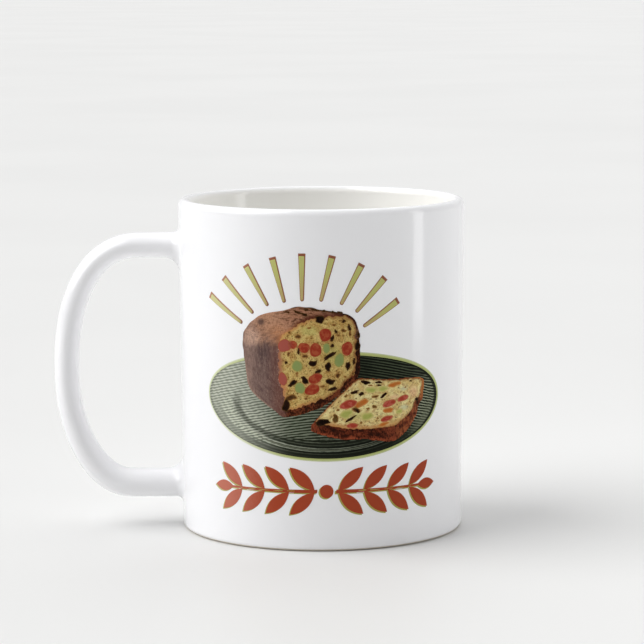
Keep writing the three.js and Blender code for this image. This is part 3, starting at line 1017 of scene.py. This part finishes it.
def crust_finish(colours):
    """Baked crust: grey-brown with upright grain on the side, orange-brown and blotched on top.

    The upper left is the palest. The top's ridge, and the bands under and beside the cut face,
    are dark, and a thin paler line runs up the left edge.
    """
    ink = Ink("crust_ink", colours.crust)
    blotch = ink.mottle(0.28, detail=4, roughness=0.6)
    cloud = ink.streaks((0.3, 0.2), detail=3, shift=(5, 2))
    grain = ink.streaks((2.6, 0.9), detail=4, roughness=0.7)
    sweep = ink.streaks((0.5, 1.8), detail=4, roughness=0.65)
    speck = ink.mottle(2.2, roughness=0.6)
    top = ink.ease(ink.up + 0.1 * ink.across + 9 * (blotch - 0.5), 54.5, 60.5)
    ink.lay(top, colours.crust_light)
    pale = ink.spot(-20.4, 59.6, 4.2, 3.6, 0.9) * ink.ease(blotch, 0.3, 0.5)
    ink.lay(pale * 0.95, seen(244, 200, 172))
    shadow = ink.ease(sweep, 0.5, 0.64) * ink.upwards(57, 60)
    ink.lay(shadow * 0.6, seen(112, 80, 66))
    glow = ink.spot(-12.0, 61.0, 4.6, 3.6, 0.9) * ink.ease(sweep, 0.35, 0.55, 0.5, 1)
    ink.lay(glow * 0.7, seen(204, 142, 100))
    ink.lay(ink.sideways(-16.5, -21.5, 0, 0.55), seen(162, 134, 122))
    grey = ink.ease(cloud, 0.42, 0.62) * ink.upwards(64, 58) * ink.sideways(-22, -17, 0.3, 1)
    ink.lay(grey * 0.5, seen(84, 66, 66))
    grey = 0.75 * ink.spot(-16.6, 56.0, 3.6, 4.2, 0.9) + 1.3 * ink.spot(-17.2, 63.9, 1.7, 1.5)
    ink.lay(grey * 0.6, seen(78, 62, 62))
    ink.lay(ink.spot(-22.9, 60.4, 1.0, 1.8) * 0.6, seen(92, 68, 60))
    warm = ink.sideways(-16.5, -11.5) * ink.upwards(63, 54)
    ink.lay(warm * 0.55, seen(112, 62, 48))
    ridge = ink.sideways(-14, -6) * ink.upwards(61.5, 64.5)
    ink.lay(ridge * 0.5, seen(158, 98, 68))
    ink.lay(ridge * ink.ease(sweep, 0.48, 0.62) * 0.75, seen(58, 30, 18))
    ink.lay(ink.ease(grain, 0.4, 0.72) * 0.42, seen(62, 40, 34))
    ink.lay(ink.ease(grain, 0.46, 0.25) * 0.3, seen(200, 160, 136))
    ink.lay(ink.ease(speck, 0.6, 0.72) * 0.5, seen(58, 36, 28))
    crumbs = ink.spot(-12.0, 52.0, 0.8, 8.0, 0.6) * ink.ease(speck, 0.56, 0.64)
    ink.lay(crumbs * 0.8, seen(222, 176, 160))
    line = ink.ease(ink.inwards + 0.7 * (speck - 0.5), 0.1, 0.7, 0.5, 0)
    line = line * ink.sideways(-13, -15.5) * ink.upwards(55, 50)
    ink.lay(line, seen(178, 144, 126))
    above_cut = ink.up - 59.2 - 0.67 * (ink.across + 11.6) + 1.6 * (sweep - 0.5)
    lip = ink.ease(above_cut, 2.0, 0.5) * ink.ease(above_cut, -1.6, -0.2)
    lip = lip * ink.sideways(-13.5, -11) * ink.sideways(-4, -8)
    ink.lay(lip * 0.6, seen(196, 124, 76))
    seam = ink.ease(ink.up - 0.09 * ink.across, 67.2, 65.6) * ink.ease(above_cut, 2.2, 1.0)
    seam = seam * ink.sideways(-10, -6) * ink.upwards(61, 63)
    ink.lay(seam * ink.ease(speck, 0.3, 0.5, 0.5, 0.9), seen(84, 36, 22))
    under = ink.sideways(-11.5, -9) * ink.upwards(61.5, 58)
    burnt = ink.ease(0.5 * (grain + blotch), 0.42, 0.54) * 0.95
    ink.lay(under, ink.mix(burnt, seen(116, 58, 34), colours.crust_dark))
    side = ink.sideways(8.6, 9.8) * ink.upwards(46, 49)
    ink.lay(side * ink.ease(speck, 0.36, 0.56, 0.25, 0.85), seen(32, 10, 6))
    crest = ink.ease(ink.inwards + 0.8 * (speck - 0.5), 0.1, 0.8, 0.85, 0)
    crest = crest * ink.sideways(-10, 0) * ink.upwards(62, 65)
    ink.lay(crest, colours.crust_dark)
    return ink.done(grain)


def crumb_finish(name, colours, tones, toast_width, red_side, specks=1.0):
    """Open crumb: a pale mottled ground, dark pores of three sizes, and a toasted border.

    The tones are its palest and its browner crumb. The border is red up to a few millimetres
    right of red_side, turns browner further on, and comes and goes along the edge. Returns the
    ink, to which more can be laid, and its grain.
    """
    ink = Ink(name, tones[1])
    broad = ink.mottle(0.4, detail=3)
    patch = ink.mottle(1.0)
    grain = ink.mottle(2.4, detail=3, roughness=0.7)
    pores = ink.cells((0.95, 1.15))
    small = ink.cells((1.9, 2.2), (3.1, 7.7))
    ink.lay(ink.ease(broad, 0.34, 0.6), tones[0])
    ink.lay(ink.ease(patch, 0.46, 0.66) * 0.6, colours.crumb_tan)
    ink.lay(ink.ease(grain, 0.48, 0.7) * 0.7 * specks, colours.crumb_dark)
    ink.lay(ink.ease(grain, 0.44, 0.28) * 0.5, colours.crumb_pale)
    holes = ink.ease(pores, 0.36, 0.16) * ink.ease(patch, 0.42, 0.52)
    ink.lay(holes * 0.75, colours.crumb_dark)
    dots = ink.ease(small, 0.3, 0.14) * ink.ease(broad, 0.62, 0.42)
    ink.lay(dots * 0.65 * specks, colours.crumb_dark)
    ragged = ink.inwards + 1.5 * (grain - 0.5) + 1.6 * (patch - 0.5)
    browner = ink.sideways(red_side + 6, red_side + 19)
    toast = ink.mix(browner, colours.crust_orange, seen(132, 78, 42))
    ink.lay(ink.ease(ragged, 0.0, toast_width, 0.8, 0), toast)
    left = ink.sideways(red_side + 3.4, red_side + 0.5) * ink.upwards(59, 56)
    ink.lay(left * ink.ease(ragged, 0.2, 1.9, 0.8, 0), seen(156, 98, 78))
    burnt = ink.ease(ragged, -0.5, 0.35 * toast_width, 0.8, 0)
    ink.lay(burnt * ink.sideways(red_side + 3, red_side + 8, 0.15, 1), seen(104, 52, 36))
    return ink, grain


def print_fruit(name, places, level, tones, rim_width, seed, lumps=0.04, count=40, washed=None):
    """Prints a group of fruit, each an uneven ellipse with a seed of its own.

    The three tones are its flesh, which drifts to a second colour, and its soft rim. A washed
    colour, if there is one, takes over at the left end of the cut face.
    """
    ink = Ink(f"{name}_ink", tones[0])
    drift = ink.mottle(0.8)
    fine = ink.mottle(3.0)
    ink.lay(ink.ease(drift, 0.42, 0.62), tones[1])
    if washed:
        ink.lay(ink.ease(ink.across + 2 * (fine - 0.5), -7.5, -9.5), washed)
    ink.lay(ink.ease(ink.inwards + 0.3 * (fine - 0.5), 0, rim_width, 0.9, 0), tones[2])
    outlines = [
        blob((x, z), (half_width, half_height), turn, seed + k, lumps, count)
        for k, (x, z, half_width, half_height, turn) in enumerate(places)
    ]
    print_field(f"print_{name}", outlines, level, ink.done(drift))


class MUG_OT_loaf(bpy.types.Operator):
    """Build the printed loaf, its cut face and the fruit in it"""

    bl_idname = "mug.loaf"
    bl_label = "Printed loaf"

    def execute(self, context):
        colours = context.scene.mug_colours
        crust = rough_edge(closed_curve(LOAF, 320), depth=0.07, waves=(6, 34), seed=1)
        face = rough_edge(closed_curve(CUT_FACE, 320), depth=0.2, waves=(12, 70), seed=2)
        tones = (colours.crumb, seen(192, 156, 88))
        ink, grain = crumb_finish("crumb_ink", colours, tones, toast_width=1.0, red_side=-12.5)
        rosy = ink.spots(
            (-9.2, 57.6, 3.8, 3.0), (-3.4, 56.8, 4.0, 2.8), (-2.3, 47.2, 3.4, 3.6),
            (7.0, 56.8, 2.6, 2.8), (1.0, 60.7, 2.8, 2.8), (-11.0, 47.0, 2.6, 4.0),
        )  # fmt: skip
        ink.lay(ink.ease(rosy, 0, 1, 0, 0.5), seen(206, 138, 92))
        lush = ink.spots((-6.8, 52.0, 2.6, 2.8), (3.2, 55.2, 3.8, 4.2), (-3.4, 61.8, 4.0, 2.0))
        ink.lay(ink.ease(lush, 0, 1, 0, 0.4), seen(184, 184, 104))
        cherry = (colours.cherry, colours.cherry_light, seen(162, 88, 56))
        dimple = (seen(88, 60, 28), seen(66, 38, 16), colours.crumb_tan)
        green = (colours.green, seen(138, 150, 90), seen(158, 152, 84))
        raisin = (colours.raisin, seen(34, 16, 6), colours.raisin_light)
        print_field("print_loaf_crust", [crust], 3, crust_finish(colours), rings=26)
        print_field("print_loaf_crumb", [face], 4, ink.done(grain), rings=22)
        faded = seen(164, 84, 72)
        print_fruit("loaf_cherries", LOAF_CHERRIES, 5, cherry, 0.3, seed=10, washed=faded)
        print_fruit("loaf_dimples", LOAF_DIMPLES, 6, dimple, 0.4, seed=70, lumps=0.12, count=28)
        print_fruit("loaf_greens", LOAF_GREENS, 6, green, 0.4, seed=30)
        print_fruit("loaf_raisins", LOAF_RAISINS, 7, raisin, 0.4, seed=50, lumps=0.14, count=28)
        return {"FINISHED"}


def slice_crust_finish(colours):
    """The slice's baked edge: dark and streaked, orange on the right and red at its left end."""
    ink = Ink("slice_crust_ink", seen(88, 36, 18))
    grain = ink.streaks((2.2, 0.6), detail=4, roughness=0.7)
    blotch = ink.mottle(0.45)
    red = ink.ease(ink.inwards + 1.6 * (blotch - 0.5), 0.1, 1.1, 0.75, 0.12)
    ink.lay(red, seen(172, 84, 54))
    char = ink.streaks((0.42, 0.3), shift=(1.5, 0))
    char = ink.ease(char, 0.42, 0.6) * ink.ease(ink.inwards, 0.2, 0.9, 0.5, 1)
    ink.lay(char * 0.8, seen(38, 12, 5))
    ends = ink.sideways(1.0, -2.2) + ink.ease(ink.across + 2 * (blotch - 0.5), 16.5, 19.5)
    ink.lay(ends * 0.75, seen(136, 66, 42))
    right = ink.ease(ink.across + 2.5 * (blotch - 0.5), 20.0, 23.5)
    ink.lay(right, ink.mix(ink.ease(blotch, 0.4, 0.6), seen(158, 88, 54), seen(100, 46, 28)))
    back = ink.mix(ink.sideways(26, 30), seen(128, 66, 34), seen(184, 112, 60))
    ink.lay(ink.upwards(40.8, 42.6), back)
    ink.lay(ink.spot(28.9, 40.9, 0.9, 1.7, 0.5) * 0.85, seen(40, 16, 6))
    ink.lay(ink.ease(grain, 0.46, 0.62) * ink.upwards(46, 41.5, 0.25, 0.85), colours.char)
    lit = ink.ease(grain, 0.44, 0.32) * ink.upwards(46, 41.5, 0.2, 0.7) * (1 - 0.6 * char)
    ink.lay(lit, seen(158, 80, 48))
    return ink.done(grain)


class MUG_OT_slice(bpy.types.Operator):
    """Build the printed slice in front of the loaf, and the fruit in it"""

    bl_idname = "mug.slice"
    bl_label = "Printed slice"

    def execute(self, context):
        colours = context.scene.mug_colours
        crust = rough_edge(closed_curve(SLICE, 300), depth=0.08, waves=(12, 60), seed=3)
        face = rough_edge(closed_curve(SLICE_FACE, 300), depth=0.08, waves=(10, 50), seed=4)
        tones = (colours.crumb_pale, seen(218, 190, 122))
        ink, grain = crumb_finish(
            "slice_crumb_ink", colours, tones, toast_width=0.5, red_side=-3.0, specks=0.45
        )
        low = ink.ease(ink.inwards + 1.2 * (grain - 0.5), 1.7, 0.3) * ink.upwards(38.0, 36.2)
        ink.lay(low * ink.sideways(24, 18, 0.35, 0.65), seen(190, 124, 68))
        rosy = ink.spots((27.4, 43.4, 2.8, 2.8), (21.0, 42.6, 2.6, 1.0), softness=0.9)
        ink.lay(rosy * 0.6, seen(226, 172, 134))
        green_haze = ink.spots((15.5, 45.2, 4.4, 1.2), (10.0, 38.0, 5.0, 1.4), softness=0.9)
        ink.lay(green_haze * 0.5, seen(190, 188, 108))
        misty = ink.spots((24.0, 44.6, 2.2, 1.0), (24.2, 39.4, 2.4, 1.2), softness=0.9)
        ink.lay(misty * 0.6, seen(196, 200, 166))
        cherry = (seen(164, 62, 46), seen(186, 90, 74), seen(190, 118, 82))
        orange = (colours.orange, seen(182, 108, 50), seen(206, 152, 88))
        green = (colours.green_light, seen(164, 168, 86), seen(206, 194, 118))
        raisin = (colours.raisin, seen(34, 16, 6), colours.raisin_light)
        dimple = (seen(100, 76, 36), seen(76, 44, 18), colours.crumb_tan)
        print_field("print_slice_crust", [crust], 5, slice_crust_finish(colours), rings=20)
        print_field("print_slice_crumb", [face], 6, ink.done(grain), rings=20)
        print_fruit("slice_oranges", SLICE_ORANGES, 7, orange, 0.5, seed=110, lumps=0.08)
        print_fruit("slice_greens", SLICE_GREENS, 7, green, 0.7, seed=120, lumps=0.09)
        print_fruit("slice_dimples", SLICE_DIMPLES, 7, dimple, 0.35, seed=150, lumps=0.12, count=28)
        print_fruit("slice_cherries", SLICE_CHERRIES, 8, cherry, 0.4, seed=100)
        print_fruit("slice_raisins", SLICE_RAISINS, 9, raisin, 0.3, seed=130, lumps=0.14, count=28)
        return {"FINISHED"}


def line_print(name, tint, washed):
    """A plain printed colour with faint ink mottling, paled to the left by painted sheen."""
    ink = Ink(name, tint)
    mottle = ink.mottle(1.2)
    # painted sheen: the washed colour takes over towards the left, for the glaze's reflection of
    # the key light
    ink.lay(ink.ease(ink.across + 4 * (mottle - 0.5), -31, -12, 0.6, 0), washed)
    return ink.done(mottle)


def ray_finish(colours):
    """Fill of the rays: browner at their inner ends, and paled to the left by painted sheen."""
    ink = Ink("ray_ink", colours.ray)
    mottle = ink.mottle(1.2)
    off = ((ink.across - FAN_MIDDLE[0]) / FAN_SIZE[0], (ink.up - FAN_MIDDLE[1]) / FAN_SIZE[1])
    inner_end = ink.ease((off[0] * off[0] + off[1] * off[1]) ** 0.5, 0.88, 0.56)
    ink.lay(inner_end * 0.8, seen(188, 162, 112))
    # painted sheen: paler towards the left, for the glaze's reflection of the key light
    ink.lay(ink.ease(ink.across + 4 * (mottle - 0.5), -34, -10, 0.85, 0), seen(214, 208, 158))
    return ink.done(mottle)


def tapered_bar(start, end, start_half, end_half, shift=(0.0, 0.0)):
    """A bar from one point to another, square at its start and a half circle at its end."""
    start, end = np.array(start, float), np.array(end, float)
    run = (end - start) / np.linalg.norm(end - start)
    across = np.array([-run[1], run[0]])
    tip = np.radians(np.linspace(90, -90, 9))[:, None]
    round_end = end + end_half * (np.sin(tip) * across + np.cos(tip) * run)
    square_end = [start - start_half * across, start + start_half * across]
    corners = np.concatenate([square_end, round_end])
    return even_steps(corners + np.array(shift), BAR_POINTS)


class MUG_OT_rays(bpy.types.Operator):
    """Build the fan of printed rays over the cake"""

    bl_idname = "mug.rays"
    bl_label = "Printed rays"

    def execute(self, context):
        sizes, colours = context.scene.mug_print, context.scene.mug_colours
        half = sizes.ray_width / 2
        edges, fills = [], []
        for *outer, inner_across, inner_up in RAYS:
            outer, inner = np.array(outer), np.array([inner_across, inner_up])
            run = (inner - outer) / np.linalg.norm(inner - outer)
            edges.append(tapered_bar(outer, inner - RAY_TIP * run, half, RAY_TIP, RAY_SHIFT))
            ends = (outer + FILL_INSET[0] * run, inner - FILL_INSET[1] * run)
            fills.append(tapered_bar(*ends, half - FILL_INSET[2], FILL_TIP, FILL_SHIFT))
        # the second colour is the painted sheen at the left
        edge = line_print("ray_edge_ink", colours.ray_edge, seen(190, 146, 124))
        print_field("print_ray_edges", edges, 1, edge, rings=4)
        print_field("print_ray_fills", fills, 2, ray_finish(colours), rings=4)
        return {"FINISHED"}


def leaf_outline(middle, half_size, direction):
    """A pointed leaf: x goes along it, and its half width at x is w (1 - x^2)."""
    x, sine = ellipse(np.zeros(2), 1, 1, LEAF_POINTS).T
    y = np.sign(sine) * (1 - x**2)
    across = np.array([-direction[1], direction[0]])
    return middle + half_size[0] * x[:, None] * direction + half_size[1] * y[:, None] * across


class MUG_OT_border(bpy.types.Operator):
    """Build the leaf border under the plate: pairs of leaves on two stems, and a berry"""

    bl_idname = "mug.border"
    bl_label = "Printed border"

    def execute(self, context):
        sizes, colours = context.scene.mug_print, context.scene.mug_colours
        leaves = [blob(BORDER_MIDDLE, (BERRY, BERRY), 0, 0, 0)]
        for side in (-1, 1):
            out = np.array([side, 0])
            tip = sizes.leaves * LEAF_STEP
            stem = (BORDER_MIDDLE + STEM_START * out, BORDER_MIDDLE + (tip + STEM_REST) * out)
            leaves.append(tapered_bar(*stem, *STEM_WIDTHS))
            end = BORDER_MIDDLE + (tip + END_LEAF_REST) * out
            leaves.append(leaf_outline(end, END_LEAF_SIZE, out))
            for k in range(sizes.leaves):
                base = BORDER_MIDDLE + (LEAF_START + LEAF_STEP * k) * out
                for up in (-1, 1):
                    run = np.array([side * math.cos(LEAF_TURN), up * math.sin(LEAF_TURN)])
                    leaves.append(leaf_outline(base + LEAF_OUT * run, LEAF_SIZE, run))
        edges = [outline + SHADOW_SHIFT for outline in leaves]
        # the second colours are the painted sheen at the left
        edge = line_print("border_edge_ink", colours.leaf_edge, seen(206, 204, 150))
        leaf = line_print("border_ink", colours.leaf, seen(208, 138, 120))
        print_field("print_border_edges", edges, 1, edge, rings=5)
        print_field("print_border_leaves", leaves, 2, leaf, rings=5)
        return {"FINISHED"}


# --- Stage ---


FLOOR_HALF = 40  # metres, half the floor's side
SUN_SPREAD = 60  # degrees
STRIP_PLACE, STRIP_AIM, STRIP_SIZE = (0.45, -0.075, 0.17), (0, 0, 0.17), (0.08, 0.34)


def place_light(light, place, aim):
    """Puts a light at a place, turned to a point and unseen by the camera itself."""
    made = bpy.data.objects.new(light.name, light)
    made.location = place
    made.rotation_euler = (Vector(aim) - Vector(place)).to_track_quat("-Z", "Y").to_euler()
    made.visible_camera = False
    bpy.context.scene.collection.objects.link(made)


def area_light(name, place, aim, size, radiance):
    """A soft rectangular light of an even brightness that faces a point."""
    light = bpy.data.lights.new(name, "AREA")
    light.shape = "RECTANGLE"
    light.size, light.size_y = size
    light.energy = radiance * size[0] * size[1] * math.pi
    place_light(light, place, aim)


def soft_sun(name, turn, rise, energy):
    """Wide even light from one side: turn degrees round from -Y towards +X, and rise degrees up."""
    light = bpy.data.lights.new(name, "SUN")
    light.energy, light.angle = energy, math.radians(SUN_SPREAD)
    a, e = math.radians(turn), math.radians(rise)
    level = math.cos(e)
    place_light(light, (level * math.sin(a), -level * math.cos(a), math.sin(e)), (0, 0, 0))


class MUG_OT_stage(bpy.types.Operator):
    """Build the floor, the lights, the surroundings and the camera"""

    bl_idname = "mug.stage"
    bl_label = "Stage"

    def execute(self, context):
        scene, stage = context.scene, context.scene.mug_stage
        skin = Skin()
        corners = FLOOR_HALF * np.array([[-1, -1, 0], [1, -1, 0], [1, 1, 0], [-1, 1, 0]])
        skin.quads([skin.add(corners)])
        mesh = skin.mesh("floor")
        paint = Finish("floor_paint")
        paint.set("Roughness", 0.5)
        cloud = paint.noise(paint.object_place(), 3, detail=3)
        darker = tuple(0.97 * c for c in stage.floor)
        paint.set("Base Color", paint.mix(paint.ease(cloud, 0.3, 0.7), stage.floor, darker))
        mesh.materials.append(paint.material)
        floor = bpy.data.objects.new("floor", mesh)
        scene.collection.objects.link(floor)

        soft_sun("key_light", -80, 45, stage.key)
        soft_sun("back_light", 180, 65, stage.back)
        area_light("strip_light", STRIP_PLACE, STRIP_AIM, STRIP_SIZE, stage.strip)

        world = bpy.data.worlds.new("surroundings")
        world.use_nodes = True
        scene.world = world
        sky = Recipe(world.node_tree)
        direction = sky.node("ShaderNodeTexCoord", {}, {}, 0)
        right, back, above = (sky.positive(sky.along(direction, k)) for k in (0, 1, 2))
        level = stage.right_wall * right + stage.back_wall * back + stage.ceiling * above**2
        seen_by_camera = sky.node("ShaderNodeLightPath")
        strength = seen_by_camera * stage.backdrop + (1 - seen_by_camera) * level
        background = next(n for n in world.node_tree.nodes if n.type == "BACKGROUND")
        background.inputs["Color"].default_value = (1, 1, 1, 1)
        sky.plug(background.inputs["Strength"], strength)

        lens = bpy.data.cameras.new("camera")
        lens.lens = stage.lens
        lens.clip_end = 100
        camera = bpy.data.objects.new("camera", lens)
        tilt = Matrix.Rotation(math.pi / 2 - stage.pitch, 4, "X")
        roll = Matrix.Rotation(stage.roll, 4, "Z")
        place = Matrix.Translation((0.1 * MM, -stage.distance, stage.camera_height))
        camera.matrix_world = place @ tilt @ roll
        scene.collection.objects.link(camera)
        scene.camera = camera
        scene.view_settings.view_transform = "Standard"
        return {"FINISHED"}


class MUG_PT_panel(bpy.types.Panel):
    """Lists the mug's parts in the sidebar"""

    bl_label = "Printed Mug"
    bl_idname = "MUG_PT_panel"
    bl_space_type = "VIEW_3D"
    bl_region_type = "UI"
    bl_category = "Mug"

    def draw(self, context):
        """One button for each operator"""
        for operator in OPERATORS:
            self.layout.operator(operator.bl_idname)


OPERATORS = (
    MUG_OT_stage,
    MUG_OT_cup,
    MUG_OT_plate,
    MUG_OT_loaf,
    MUG_OT_slice,
    MUG_OT_rays,
    MUG_OT_border,
)
GROUPS = {
    "mug_cup": CupSizes,
    "mug_handle": HandleSizes,
    "mug_print": PrintSizes,
    "mug_colours": PrintColours,
    "mug_stage": StageSettings,
}


def register():
    """Registers the classes and adds the property groups to the scene."""
    for made in (*GROUPS.values(), *OPERATORS, MUG_PT_panel):
        bpy.utils.register_class(made)
    for name, group in GROUPS.items():
        setattr(bpy.types.Scene, name, PointerProperty(type=group))


def unregister():
    """Undoes what register does, in the opposite order."""
    for name in GROUPS:
        delattr(bpy.types.Scene, name)
    for made in (MUG_PT_panel, *OPERATORS[::-1], *GROUPS.values()):
        bpy.utils.unregister_class(made)


def main():
    """Builds everything."""
    register()
    for operator in OPERATORS:
        group, name = operator.bl_idname.split(".")
        getattr(getattr(bpy.ops, group), name)()


if __name__ == "__main__":
    main()
